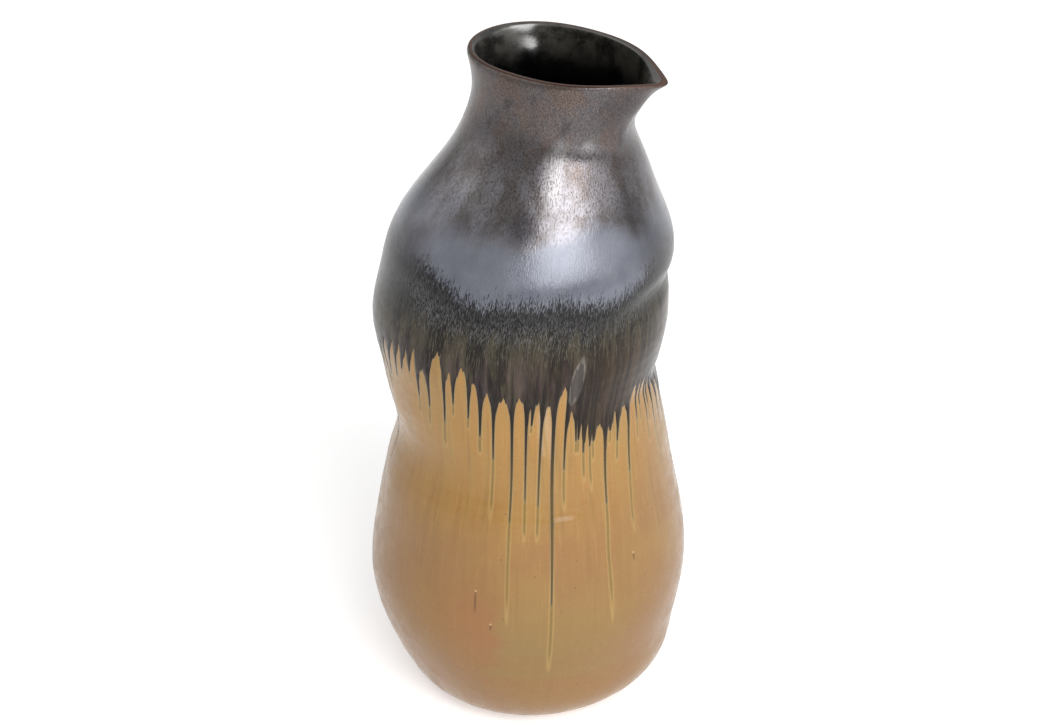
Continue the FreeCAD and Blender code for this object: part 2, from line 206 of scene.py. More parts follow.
# Soft swells: turn, height, spread around, spread up and down, rise
SWELLS = (
    (-22, 292, 15, 7, 0.9),
    (-97, 372, 9, 22, 0.8),
    (96, 284, 20, 9, 0.6),
)


def relief_waves():
    """Slow waves that keep the wall from being perfectly even: turns, pitch, phase and size of each."""
    chance = np.random.default_rng(RELIEF_SEED)
    waves = []
    for _ in range(RELIEF_WAVES):
        around = int(chance.integers(1, 8))
        up = chance.uniform(-1.0, 1.0) * 2.0 * math.pi / RELIEF_WAVE
        waves.append((around, up, chance.uniform(0.0, 2.0 * math.pi), chance.uniform(0.4, 1.0)))
    return waves


WAVES = relief_waves()


def relief(turn, height):
    """Small unevenness of the wall: slow waves, a faint spiral of throwing rings, touches and swells."""
    angle = np.radians(turn)
    total = 0.0
    for around, up, phase, size in WAVES:
        total = total + size * np.cos(around * angle + up * height + phase)
    total = total * RELIEF_DEPTH / math.sqrt(RELIEF_WAVES)
    spiral = RING_DEPTH * np.cos(2.0 * math.pi * height / RING_PITCH + angle)
    for *place, rise in TOUCHES:
        total = total + rise * soft_step(TOUCH_EDGE * (1.0 - away_from(turn, height, *place)))
    for *place, rise in SWELLS:
        total = total + rise * soft_spot(turn, height, *place)
    return (total + spiral) * ramp(height, *RELIEF_FADE_IN) * ramp(height, *RELIEF_FADE_OUT)


# ---- how the glaze flowed

FLOW_TOP = 262.0
FLOW_STEP = 0.5


def settled_lean():
    """Sum of lean change over radius, from the flow's top downwards, at evenly spaced heights."""
    heights = np.arange(0.0, FLOW_TOP + FLOW_STEP, FLOW_STEP)
    gains = np.diff(section_lean(heights)) / mean_radius(0.5 * (heights[1:] + heights[:-1]))
    sums = np.concatenate([[0.0], np.cumsum(gains)])
    return heights, sums - sums[-1]


SETTLED_HEIGHTS, SETTLED_SUMS = settled_lean()


def flow_turn(flow, height, backwards=False):
    """Turn at a height of the trickle that started at a flow turn and ran the steepest way down the wall.

    Backwards, it gives the flow turn of the trickle that passes a turn at this height.
    """
    gain = np.interp(height, SETTLED_HEIGHTS, SETTLED_SUMS)
    half = np.radians(turn_between(flow, LEAN_TURN)) / 2.0
    factor = np.exp(-gain if backwards else gain)
    moved = 2.0 * np.degrees(np.arctan2(np.sin(half) * factor, np.cos(half)))
    return moved + LEAN_TURN


# Front of the fringe from the left, each dark finger with the tan tongue after it: turn of the root, turn
# and height of the tip, half width, end of the tail, turn and height of the tongue's peak
FIRST_TONGUE = (-119.5, 262)
FRONT_FRINGE = (
    (-115, -119, 237, 1.1, 228, -113, 265.6),
    (-110, -113, 239, 0.9, 230, -107.5, 267),
    (-105.5, -107.3, 250, 1, 242, -103, 265.6),
    (-101, -102, 252, 0.9, 240, -98.9, 270),
    (-97, -99, 236, 1.1, 220, -94.2, 259),
    (-91, -94, 230, 1.1, 214, -87, 273.5),
    (-84, -87, 223, 1.2, 202, -81.8, 262.5),
    (-79.6, -81.4, 239, 0.9, 228, -76.3, 268),
    (-73.3, -75.4, 231, 1.1, 222, -71.4, 260),
    (-69, -71.4, 219, 1.6, 204, -66.2, 253),
    (-64, -68, 203, 1.2, 160, -60.2, 249.5),
    (-56.8, -61.6, 164, 1.2, 92, -54, 251),
    (-51.2, -56.4, 177, 1.1, 150, -49.2, 243),
    (-47.8, -49.6, 229, 0.9, 222, -46.4, 247),
    (-44.4, -51, 174, 1.1, 150, -42.2, 244),
    (-39.6, -46, 110, 1.5, 56, -36.2, 256),
    (-34.3, -39.3, 196, 1.2, 168, -32.4, 235),
    (-30.6, -31.8, 214, 1, 204, -29.8, 226),
    (-28.9, -30.6, 215, 0.7, 204, -28.1, 222),
    (-27.2, -29.5, 205, 1.2, 184, -26.4, 221),
    (-25.7, -28, 213, 0.6, 200, -24.9, 219),
    (-24.2, -26.1, 208, 0.9, 176, -23.3, 221),
    (-22.4, -24.2, 211, 0.7, 196, -18.8, 224),
    (-14.2, -21.8, 168, 1.4, 84, -12.6, 222),
    (-10.9, -15, 214, 0.7, 204, -9.1, 225),
    (-7.2, -12.3, 205, 1.1, 190, -3.6, 228),
    (0.2, -8.5, 182, 1.2, 140, 2.2, 237),
    (4.6, 1.4, 211, 0.8, 196, 6.2, 237),
    (7.7, 5.2, 219, 0.7, 206, 9.3, 236),
    (10.8, 9.2, 206, 0.9, 188, 12.5, 233),
    (14.2, 12.2, 214, 0.7, 200, 15.8, 231),
    (17.4, 15.6, 198, 0.9, 176, 20.6, 226),
    (24, 22, 192, 1, 170, 27.2, 221),
)

# The unseen side: where its fringe lies, and the least and most of what chance sets
BACK_SEED = 5
BACK_SPACING = 5.4
BACK_LINE_HEIGHT = 236.0
BACK_LINE_TILT = 20.0
BACK_LINE_TURN = -125.0
BACK_LONG_EVERY = 5
BACK_ROOT_SHIFT = (-0.16, 0.16)
BACK_DROP = (12.0, 34.0)
BACK_LONG_DROP = (55.0, 120.0)
BACK_WIDTH = (0.95, 1.35)
BACK_TIP_SHIFT = (-0.8, 0.8)
BACK_TAIL = (6.0, 34.0)
BACK_PEAK_SHIFT = (-0.12, 0.12)
BACK_PEAK_RISE = (-5.0, 7.0)


def back_line(turn):
    """Height of the fringe's middle on the unseen side."""
    return BACK_LINE_HEIGHT + BACK_LINE_TILT * math.cos(math.radians(turn - BACK_LINE_TURN))


def back_fringe(start, end):
    """Fingers and tongues of the unseen side, from the last front tongue round to the first one."""
    chance = np.random.default_rng(BACK_SEED)
    span = end - start
    count = round(span / BACK_SPACING)
    fingers = []
    tongues = []
    for index in range(count):
        root = start + span * (index + 0.5 + chance.uniform(*BACK_ROOT_SHIFT)) / count
        drop = chance.uniform(*BACK_DROP)
        if index % BACK_LONG_EVERY == 2:
            drop = chance.uniform(*BACK_LONG_DROP)
        tip = back_line(root) - drop
        width = chance.uniform(*BACK_WIDTH)
        settled = float(flow_turn(root, tip)) + chance.uniform(*BACK_TIP_SHIFT)
        fingers.append((root, settled, tip, width, tip - chance.uniform(*BACK_TAIL)))
        if index:
            turn = start + span * (index + chance.uniform(*BACK_PEAK_SHIFT)) / count
            tongues.append((turn, back_line(turn) + chance.uniform(*BACK_PEAK_RISE)))
    return fingers, tongues


def whole_fringe():
    """Every finger with the tongue on each side of it, all the way round."""
    fingers = [row[:5] for row in FRONT_FRINGE]
    tongues = [FIRST_TONGUE] + [row[5:] for row in FRONT_FRINGE]
    last = (FIRST_TONGUE[0] + 360.0, FIRST_TONGUE[1])
    more_fingers, more_tongues = back_fringe(tongues[-1][0], last[0])
    fingers += more_fingers
    tongues += more_tongues + [last]
    return list(zip(fingers, tongues, tongues[1:]))


FRINGE = whole_fringe()
FINGER_OVERRUN = 1.3
FINGER_SLIMNESS = 0.62
FINGER_TAPER = 0.32
FINGER_CLOSING = 0.6
FINGER_FUNNEL = 6.5
FINGER_REACH = 1.35
FINGER_REACH_EXTRA = 2.0
OUT_OF_REACH = -30.0
EDGE_LIMIT = 12.0


def finger_middle(finger, height):
    """Flow turn of a finger's middle line: it settles from its root to its tip."""
    root, tip_turn, tip, _, _ = finger
    tip_flow = float(flow_turn(tip_turn, tip, backwards=True))
    share = np.clip((FLOW_TOP - height) / (FLOW_TOP - tip), 0.0, FINGER_OVERRUN)
    return root + turn_between(tip_flow, root) * share


def finger_width(finger, height):
    """Half width of a finger: slimmer on its way down to a pointed tip, and negative below it."""
    _, _, tip, width, _ = finger
    along = ramp(height, tip, FLOW_TOP)
    slim = FINGER_SLIMNESS * width * along**FINGER_TAPER
    return np.where(height > tip, slim, FINGER_CLOSING * (height - tip))


# Ragged ends of the tongues: waves round the vase, phase per millimetre of height, phase, size
RAGS = (
    (151, 0.09, 0.4, 0.45),
    (233, -0.12, 1.9, 0.60),
    (379, 0.15, 5.1, 0.35),
)
RAG_BELOW = 16.0


def raggedness(flow, height):
    """Uneven reach of the glaze between the fingers, in millimetres."""
    angle = np.radians(flow)
    total = 0.0
    for waves, climb, phase, size in RAGS:
        total = total + size * np.cos(waves * angle + climb * height + phase)
    return total


def fringe_edge(flow, height):
    """Distance inside the upper glaze's edge, in millimetres; negative outside it."""
    edge = OUT_OF_REACH
    radius = mean_radius(height)
    rags = raggedness(flow, height)
    for finger, before, after in FRINGE:
        away = arc(flow, finger_middle(finger, height), radius)
        beyond = away > 0.0
        peak = np.where(beyond, after[1], before[1])
        gap = np.where(beyond, arc(after[0], finger[0], radius), arc(finger[0], before[0], radius))
        width = finger_width(finger, height)
        slim = np.clip(width, 0.0, None)
        funnel = (gap - slim) * np.exp(np.clip((height - peak) / FINGER_FUNNEL, -40.0, 2.0))
        funnel = np.clip(funnel + rags * ramp(height, peak - RAG_BELOW, peak) ** 2, 0.0, None)
        reach = np.where(width > 0.0, width + funnel, np.minimum(width + funnel, width + 0.02))
        near = np.abs(away) < FINGER_REACH * gap + FINGER_REACH_EXTRA
        edge = np.maximum(edge, np.where(near, reach - np.abs(away), OUT_OF_REACH))
    return np.clip(edge, -EDGE_LIMIT, EDGE_LIMIT)


TAIL_WIDTH = 0.55
TAIL_WIDENING = 0.495
TAIL_ABOVE = 45.0
TAIL_FADE = 0.35


def tail_strength(flow, height):
    """How strongly the yellow tail under a finger shows, 0 to 1."""
    strength = 0.0
    radius = mean_radius(height)
    for finger, _, _ in FRINGE:
        _, _, tip, half_width, end = finger
        away = arc(flow, finger_middle(finger, height), radius)
        across = np.exp(-((away / (TAIL_WIDTH + TAIL_WIDENING * half_width)) ** 2))
        shown = ramp(height, tip + TAIL_ABOVE, tip) * ramp(height, end, end + TAIL_FADE * (tip - end))
        strength = np.maximum(strength, across * shown)
    return strength


RUN_WIDTH = 1.5
RUN_FADE = (300.0, 250.0)


def run_strength(flow, height):
    """How strongly the dark line above a finger shows, 0 to 1, fading out on its way up."""
    strength = 0.0
    radius = mean_radius(height)
    for finger, _, _ in FRINGE:
        away = arc(flow, finger_middle(finger, height), radius)
        strength = np.maximum(strength, np.exp(-((away / RUN_WIDTH) ** 2)))
    return strength * ramp(height, *RUN_FADE)


# ---- meshes


def new_piece(name, points, faces, material, replaced, attributes, sharp=None):
    """Mesh object from points in millimetres, riding on the vase and standing for CAD nodes."""
    mesh = bpy.data.meshes.new(name)
    mesh.from_pydata((points * MM).tolist(), [], faces)
    mesh.validate()
    for attribute_name, values in attributes.items():
        values = np.asarray(values, np.float32)
        kind, key = ("FLOAT_VECTOR", "vector") if values.ndim == 2 else ("FLOAT", "value")
        layer = mesh.attributes.new(attribute_name, kind, "POINT")
        layer.data.foreach_set(key, values.ravel())
    mesh.polygons.foreach_set("use_smooth", [True] * len(mesh.polygons))
    if sharp is not None:
        ends = np.zeros(len(mesh.edges) * 2, np.int64)
        mesh.edges.foreach_get("vertices", ends)
        flags = sharp[ends[0::2]] & sharp[ends[1::2]]
        mesh.attributes.new("sharp_edge", "BOOLEAN", "EDGE").data.foreach_set("value", flags)
    mesh.materials.append(material)
    mesh.update()
    piece = bpy.data.objects.new(name, mesh)
    bpy.context.scene.collection.objects.link(piece)
    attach(piece, "root")
    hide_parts(*replaced)


def ring_faces(rows, columns, loop):
    """Quads between rings of points; the last ring joins the first where loop is true."""
    faces = []
    for row in range(rows if loop else rows - 1):
        here = row * columns
        above = ((row + 1) % rows) * columns
        for column in range(columns):
            beside = (column + 1) % columns
            faces.append((here + column, here + beside, above + beside, above + column))
    return faces


COLUMNS = 600
CROWDING = 20.0
CROWDED_TURN = -42.0
WRAP_RADIUS = 85.0


def grid(rows):
    """Flow turn and height of a coat's points, closer together on the side with the longest runs."""
    share = np.arange(COLUMNS) / COLUMNS
    flow = CROWDED_TURN + 360.0 * share - CROWDING * np.sin(2.0 * np.pi * share)
    return np.tile(flow, len(rows)), np.repeat(rows, COLUMNS)


def even_rows(low, high, step):
    """Heights from low up to but without high, about one step apart."""
    count = max(1, round((high - low) / step))
    return low + (high - low) * np.arange(count) / count


def wrap_of(flow, height):
    """Position on a plain cylinder that follows the flow, for textures."""
    angle = np.radians(flow)
    x = WRAP_RADIUS * np.cos(angle)
    y = WRAP_RADIUS * np.sin(angle)
    return np.stack(np.broadcast_arrays(x, y, height), axis=-1)


def coat_points(flow, height, proud):
    """Points of the outer coat at a distance outside the glazed shape."""
    turn = flow_turn(flow, height)
    return wall_points(turn, height, outside_radius(turn, height) + relief(turn, height) + proud)


# ---- shader nodes

# Places of the colour sockets in a Mix node
MIX_SHARE = 0
MIX_UNDER = 6
MIX_OVER = 7
MIX_RESULT = 2


def rgb(red, green, blue):
    """Opaque colour from thousandths of full brightness."""
    return (red / 1000, green / 1000, blue / 1000, 1.0)


def is_socket(value):
    return isinstance(value, bpy.types.NodeSocket)


def fill(node, values):
    """Link or set a node's sockets by name or place, and give the node; None leaves a socket alone."""
    for place, value in values.items():
        if is_socket(value):
            node.id_data.links.new(value, node.inputs[place])
        elif value is not None:
            node.inputs[place].default_value = value
    return node


def add_node(kind, values, **settings):
    """New node beside the first one that its values come from."""
    tree = next(value.id_data for value in values.values() if is_socket(value))
    made = tree.nodes.new(f"ShaderNode{kind}")
    for key, value in settings.items():
        setattr(made, key, value)
    return fill(made, values)


def compute(operation, *values):
    return add_node("Math", dict(enumerate(values)), operation=operation).outputs[0]


def times(first, second):
    return compute("MULTIPLY", first, second)


def plus(first, second):
    return compute("ADD", first, second)


def swing(pattern, size):
    """A pattern's swing to either side of its middle, times a size."""
    return compute("MULTIPLY_ADD", pattern, size, -0.5 * size)


def fade(value, low, high, start=0.0, end=1.0):
    """Soft change from start to end while a value goes from low to high."""
    values = dict(enumerate((value, low, high, start, end)))
    return add_node("MapRange", values, interpolation_type="SMOOTHSTEP").outputs[0]


def vector(operation, *values):
    made = add_node("VectorMath", dict(enumerate(values)), operation=operation)
    return made.outputs["Value" if operation in ("LENGTH", "DISTANCE") else "Vector"]


def stretch(place, around, along):
    return vector("MULTIPLY", place, (around, around, along))


def noise(place, scale=1.0, detail=2.0, roughness=0.5):
    values = {"Vector": place, "Scale": scale, "Detail": detail, "Roughness": roughness}
    return add_node("TexNoise", values).outputs["Fac"]


def spots(place, scale):
    return add_node("TexVoronoi", {"Vector": place, "Scale": scale}).outputs["Distance"]


def blend(share, under, over):
    values = {MIX_SHARE: share, MIX_UNDER: under, MIX_OVER: over}
    return add_node("Mix", values, data_type="RGBA").outputs[MIX_RESULT]


def layered(colour, *layers):
    """Colour with further colours laid over it in turn, each by its own share."""
    for share, over in layers:
        colour = blend(share, colour, over)
    return colour


def bump(height, distance, strength=1.0, normal=None):
    values = {"Height": height, "Distance": distance, "Strength": strength, "Normal": normal}
    return add_node("Bump", values).outputs["Normal"]


class Look:
    """A procedural material: where its values start, and its surface at the end."""

    def __init__(self, name):
        self.material = bpy.data.materials.new(name)
        self.material.use_nodes = True
        self.nodes = self.material.node_tree.nodes

    def attribute(self, name, output="Fac"):
        node = self.nodes.new("ShaderNodeAttribute")
        node.attribute_name = name
        return node.outputs[output]

    def place(self):
        return self.nodes.new("ShaderNodeTexCoord").outputs["Object"]

    def finish(self, colour, roughness, specular, normal=None, **others):
        values = {"Base Color": colour, "Roughness": roughness, "Specular IOR Level": specular}
        fill(self.nodes["Principled BSDF"], values | {"Normal": normal} | others)
        return self.material


# ---- bronze glaze look


def fringe_brown(look, wrap, ghost, streak, fine_streak):
    """Streaked brown just above the fringe, with dark lines over the fingers."""
    smear = noise(stretch(wrap, 0.26, 0.04))
    return layered(
        rgb(14, 10, 9),
        (fade(ghost, 0.4, 0.6), rgb(66, 49, 40)),
        (fade(smear, 0.52, 0.66, 0, 0.8), rgb(60, 52, 30)),
        (fade(smear, 0.46, 0.34, 0, 0.7), rgb(44, 31, 34)),
        (times(look.attribute("warm"), 0.75), rgb(32, 18, 9)),
        (fade(fine_streak, 0.54, 0.68, 0, 0.35), rgb(105, 82, 60)),
        (fade(streak, 0.48, 0.34, 0, 0.7), rgb(10, 7, 6)),
        (times(look.attribute("run"), 0.75), rgb(8, 6, 6)),
    )


def fringe_olive(ghost, fine_streak, hairs):
    """Dark olive between the brown and the black."""
    return layered(
        rgb(12, 10, 8),
        (fade(ghost, 0.4, 0.6), rgb(40, 33, 22)),
        (fade(fine_streak, 0.5, 0.64, 0, 0.8), rgb(85, 75, 52)),
        (fade(hairs, 0.48, 0.34, 0, 0.9), rgb(2, 2, 2)),
    )


def gravel_black(hairs, banded, patch):
    """Black below the pale band, with fine grey hairs in it."""
    gravel = times(fade(hairs, 0.47, 0.6), fade(banded, 318, 300, 0.3, 1))
    gravel = times(gravel, fade(patch, 0.2, 0.8, 1, 0.25))
    return blend(gravel, rgb(2, 2, 2), rgb(96, 94, 95))


def metal_tones(wrap):
    """Tones of the pale band, of the shoulder above it and of the neck."""
    cloud = noise(wrap, scale=0.06, detail=5, roughness=0.62)
    haze = noise(wrap, scale=0.03, detail=3, roughness=0.6)
    band = blend(fade(cloud, 0.3, 0.7), rgb(114, 120, 146), rgb(144, 150, 176))
    steel = blend(fade(cloud, 0.38, 0.62), rgb(90, 82, 82), rgb(155, 150, 164))
    neck = layered(
        rgb(98, 74, 66),
        (fade(haze, 0.4, 0.6), rgb(88, 84, 90)),
        (fade(cloud, 0.52, 0.68, 0, 0.8), rgb(50, 42, 42)),
    )
    return band, steel, neck


def speckled(colour, level, patch, speck, grit):
    """Colour with the clouds, lighter tones and painted highlight, dust and grains of the metallic part."""
    clouded = times(fade(patch, 0.15, 0.9, 0, 0.7), fade(level, 304, 320))
    # The glaze turns lighter where the clouds are negative; the spots on the shoulder and below the neck
    # are painted highlight.
    lighter_tone_and_painted_highlight = times(fade(patch, -0.15, -0.8, 0, 0.55), fade(level, 345, 362))
    dust = times(fade(level, 330, 372), fade(speck, 0.53, 0.66, 0, 0.8))
    coarse = times(fade(level, 334, 356), fade(grit, 0.5, 0.62, 0, 0.55))
    pale = times(fade(level, 340, 380), fade(speck, 0.47, 0.34, 0, 0.4))
    return layered(
        colour,
        (clouded, rgb(40, 39, 46)),
        (lighter_tone_and_painted_highlight, rgb(270, 262, 268)),
        (dust, rgb(22, 14, 11)),
        (coarse, rgb(52, 38, 30)),
        (pale, rgb(230, 180, 150)),
    )


def thinned(look, colour, level, hairs):
    """Colour with the glaze broken up low down in the long fingers, and thinner at its edge."""
    broken = times(fade(level, 200, 120), fade(hairs, 0.42, 0.58, 0, 0.8))
    at_edge = fade(look.attribute("edge"), 1.3, 0.45)
    at_edge = times(at_edge, fade(look.attribute("run"), 0.15, 0.6, 0.25, 1))
    thin = blend(fade(level, 235, 165), rgb(12, 10, 8), rgb(85, 58, 18))
    return layered(colour, (broken, rgb(110, 76, 22)), (at_edge, thin))


def touched(look, colour, level, streak):
    """Colour with the mark of a fingertip, its pale outline a painted highlight, and with the brown of the
    lip's edge.
    """
    mark = plus(look.attribute("mark"), swing(streak, 0.9))
    # The pale outline round the fingertip mark is a painted highlight.
    outline = times(fade(mark, 1.25, 1.05), fade(mark, 0.8, 0.95))
    outline = times(outline, fade(streak, 0.4, 0.6, 0.05, 0.45))
    return layered(
        colour,
        (fade(mark, 1.3, 0.7, 0, 0.35), rgb(85, 82, 82)),
        (outline, rgb(230, 210, 185)),
        (fade(level, 429.3, 429.9), rgb(60, 28, 18)),
    )


def bronze_material():
    """Upper glaze: metallic brown-grey, below it a pale blue-grey band, black, and brown at the fringe."""
    look = Look("bronze_glaze_look")
    wrap = look.attribute("wrap", "Vector")
    level = look.attribute("level")
    patch = look.attribute("patch")
    streak = noise(stretch(wrap, 0.55, 0.034), detail=3, roughness=0.6)
    fine_streak = noise(stretch(wrap, 1.7, 0.13), detail=3, roughness=0.7)
    hairs = noise(stretch(wrap, 2.4, 0.34), roughness=0.7)
    ghost = noise(stretch(wrap, 0.17, 0.02), detail=3)
    broad = noise(wrap, scale=0.022, detail=3)
    speck = noise(wrap, scale=0.9, detail=3, roughness=0.75)
    grit = noise(stretch(wrap, 0.8, 0.55), roughness=0.6)

    def swayed(*sizes):
        """Height moved up and down by the patterns, so that what it borders gets a ragged edge."""
        height = level
        for pattern, size in zip((streak, fine_streak, hairs, broad), sizes):
            height = plus(height, swing(pattern, size))
        return height

    toothed = swayed(26, 26, 34, 8)
    banded = plus(swayed(16, 18, 34, 10), look.attribute("sag"))
    fuzzy = plus(swayed(4, 6, 6, 44), times(patch, 24))
    band, steel, neck = metal_tones(wrap)
    colour = layered(
        fringe_brown(look, wrap, ghost, streak, fine_streak),
        (fade(toothed, 262, 286), fringe_olive(ghost, fine_streak, hairs)),
        (fade(toothed, 282, 300), gravel_black(hairs, banded, patch)),
        (fade(banded, 317, 325), band),
        (fade(fuzzy, 338, 354), steel),
        (fade(fuzzy, 372, 402), neck),
    )
    colour = speckled(colour, level, patch, speck, grit)
    colour = thinned(look, colour, level, hairs)
    colour = touched(look, colour, level, streak)
    metal = plus(fade(banded, 318, 326, 0, 0.35), fade(fuzzy, 338, 354, 0, 0.37))
    roughness = fade(noise(wrap, scale=0.12, detail=3), 0.3, 0.7, 0.07, 0.13)
    roughness = plus(roughness, fade(level, 350, 322, 0, 0.05))
    roughness = plus(roughness, fade(level, 378, 398, 0, 0.14))
    gritty = times(fade(level, 312, 338, 0.15, 1), fade(level, 425, 392, 0.2, 1))
    normal = bump(grit, 0.0001, gritty)
    normal = bump(speck, 0.00007, fade(level, 300, 350, 0.05, 1), normal)
    normal = bump(fine_streak, 0.00012, fade(level, 345, 320, 0.2, 1), normal)
    normal = bump(hairs, 0.00012, fade(level, 345, 310, 0.3, 1), normal)
    specular = fade(level, 285, 328, 0.125, 0.34)
    return look.finish(colour, roughness, specular, normal, Metallic=metal)


# ---- other looks

# Pinholes in the lower glaze: turn, height, length of the stain below
PINHOLES = (
    (-70, 117, 14),
    (-64, 96, 4),
    (-9, 131, 5),
    (118, 88, 8),
    (201, 140, 5),
)


def tan_ground(look, wrap, level, mottle):
    """Tones of the lower glaze: pink-brown low down, yellow where it pooled, rich near the fringe, with
    painted reflection in pale streaks between the fingers.
    """
    streak = noise(stretch(wrap, 0.3, 0.012), detail=3, roughness=0.55)
    fine_streak = noise(stretch(wrap, 1.2, 0.035), roughness=0.6)
    cloud = noise(wrap, scale=0.02, detail=4, roughness=0.55)
    ochre = fade(noise(stretch(wrap, 0.16, 0.01)), 0.5, 0.6, 0, 0.7)
    rosy = times(fade(level, 125, 60), fade(cloud, 0.6, 0.46, 0.45, 0.85))
    burnt = times(look.attribute("rose"), fade(cloud, 0.35, 0.6, 0.95, 0.55))
    rich = fade(level, 120, 225, 0, 0.85)
    streaky = fade(level, 90, 170, 0.3, 1)
    # The pale streaks between the fingers are a painted reflection.
    painted_reflection = times(look.attribute("painted_reflection"), fade(streak, 0.35, 0.65, 0.3, 0.55))
    return layered(
        rgb(205, 96, 26),
        (fade(cloud, 0.35, 0.65), rgb(228, 119, 29)),
        (rosy, rgb(212, 94, 28)),
        (burnt, rgb(238, 91, 29)),
        (times(look.attribute("pool"), 0.85), rgb(203, 126, 36)),
        (rich, rgb(277, 140, 28)),
        (times(ochre, rich), rgb(235, 144, 33)),
        (times(fade(streak, 0.5, 0.7, 0, 0.55), streaky), rgb(164, 81, 19)),
        (times(fade(fine_streak, 0.54, 0.7, 0, 0.5), streaky), rgb(310, 180, 53)),
        (fade(level, 130, 60, 0, 0.22), rgb(120, 64, 12)),
        (painted_reflection, rgb(400, 275, 185)),
        (fade(mottle, 0.55, 0.75, 0, 0.15), rgb(156, 70, 21)),
    )


def tan_borders(look, colour, level):
    """Colour with the tails under the fingers, and with the pale rim and dark line along them."""
    tail = look.attribute("tail")
    edge = look.attribute("edge")
    rim = times(fade(edge, -1.6, -0.2), fade(level, 100, 170, 0.2, 0.45))
    return layered(
        colour,
        (fade(tail, 0.02, 0.35, 0, 0.6), rgb(315, 194, 60)),
        (fade(tail, 0.35, 0.9, 0, 0.95), rgb(141, 85, 15)),
        (0.05, rgb(360, 270, 150)),
        (rim, rgb(188, 135, 65)),
        (fade(edge, -0.4, 0), rgb(37, 36, 28)),
    )


def pinholed(colour, wrap):
    """Colour with the pinholes and the stains that run down from them."""
    for turn, height, trail in PINHOLES:
        hole = wrap_of(turn, height).tolist()
        stain = wrap_of(turn, height - trail / 2).tolist()
        shorten = (1, 1, 1.0 / trail)
        away = vector("LENGTH", vector("MULTIPLY", vector("SUBTRACT", wrap, stain), shorten))
        colour = layered(
            colour,
            (fade(away, 0.75, 0.35, 0, 0.8), rgb(94, 38, 12)),
            (fade(vector("DISTANCE", wrap, hole), 0.7, 0.4), rgb(451, 315, 160)),
        )
    return colour


def tan_material():
    """Lower glaze: warm and streaked, glossy, with fine pits."""
    look = Look("tan_glaze_look")
    wrap = look.attribute("wrap", "Vector")
    level = look.attribute("level")
    mottle = noise(wrap, scale=0.45, detail=3, roughness=0.6)
    pits = spots(wrap, 0.09)
    colour = tan_borders(look, tan_ground(look, wrap, level, mottle), level)
    colour = blend(fade(pits, 0.07, 0.03, 0, 0.6), colour, rgb(113, 54, 23))
    roughness = fade(noise(wrap, scale=0.1, detail=3), 0.3, 0.7, 0.2, 0.34)
    normal = bump(mottle, 0.00008, 0.35)
    normal = bump(fade(pits, 0.02, 0.08), 0.0002, 0.5, normal)
    return look.finish(pinholed(colour, wrap), roughness, 0.36, normal)


def liner_material():
    """Inside glaze: glossy, with painted shade that turns it near black in the depth, and a mottled
    brown-grey towards the mouth.
    """
    look = Look("liner_glaze_look")
    place = look.place()
    level = look.attribute("level")
    cloud = noise(place, scale=55, detail=5, roughness=0.62)
    speck = noise(place, scale=900, detail=3, roughness=0.7)
    shallow = layered(
        rgb(10, 10, 9),
        (fade(cloud, 0.38, 0.62), rgb(48, 45, 38)),
        (fade(speck, 0.52, 0.66, 0, 0.5), rgb(70, 62, 50)),
    )
    # Painted shade: below the mouth the colour goes near black, standing in for the shade deep inside the
    # neck.
    shown = fade(plus(level, times(cloud, 16)), 412, 437)
    colour = blend(shown, rgb(0.4, 0.4, 0.4), shallow)
    roughness = fade(cloud, 0.3, 0.7, 0.14, 0.26)
    # The specular level also fades deep inside, as part of the painted shade.
    specular = fade(level, 385, 404, 0.05, 1)
    return look.finish(colour, roughness, specular, bump(speck, 0.0001, 0.4))


def clay_material(name, dark, light, roughness):
    """Fired stoneware clay with iron specks."""
    look = Look(name)
    place = look.place()
    cloud = noise(place, scale=30, detail=4)
    grain = noise(place, scale=1400, detail=3, roughness=0.7)
    colour = layered(
        dark,
        (fade(cloud, 0.35, 0.65), light),
        (fade(grain, 0.45, 0.75, 0, 0.35), rgb(120, 70, 40)),
        (fade(spots(place, 260), 0.22, 0.08, 0, 0.7), rgb(50, 25, 15)),
    )
    roughness = fade(grain, 0.3, 0.7, roughness - 0.08, roughness + 0.06)
    return look.finish(colour, roughness, 0.3, bump(grain, 0.0002, 0.6))


def floor_material():
    """Plain white floor with a little glow of its own."""
    look = Look("floor_look")
    tone = noise(look.place(), scale=3)
    colour = blend(tone, rgb(900, 900, 900), rgb(920, 920, 920))
    glow = {"Emission Color": rgb(1000, 1000, 1000), "Emission Strength": 0.34}
    return look.finish(colour, 0.7, 0.2, **glow)


# ---- tan coat

TAN_BOTTOM = 5.5
TAN_FOOT_ROWS = (0.0, 0.5, 1.6)
TAN_FOOT = 3.5
TAN_FRINGE = 155.0
TAN_TOP = 284.0
TAN_STEP = 3.4
TAN_FRINGE_STEP = 1.6
TAN_INNER_STEP = 14.0
FOOT_WAVE = 0.6
FOOT_WAVES = 3.0
FOOT_WAVE_PHASE = 40.0
FOOT_WAVE_FADE = 6.0
FOOT_ROUND = 0.6
FOOT_ROUND_FADE = 0.8

# The pooled part of the lower glaze: each border's place and softness, in degrees or millimetres
POOL_LEFT = (-62.0, 2.2)
POOL_RIGHT = (-16.0, 14.0)
POOL_TOP = (112.0, 18.0)
POOL_BOTTOM = (60.0, 7.0)
POOL_SLANT = 0.10
POOL_SLANT_FROM = 85.0

# The burnt pink-brown part beside it: turn, height, spread around, spread up and down
ROSE = (-72, 84, 13, 24)


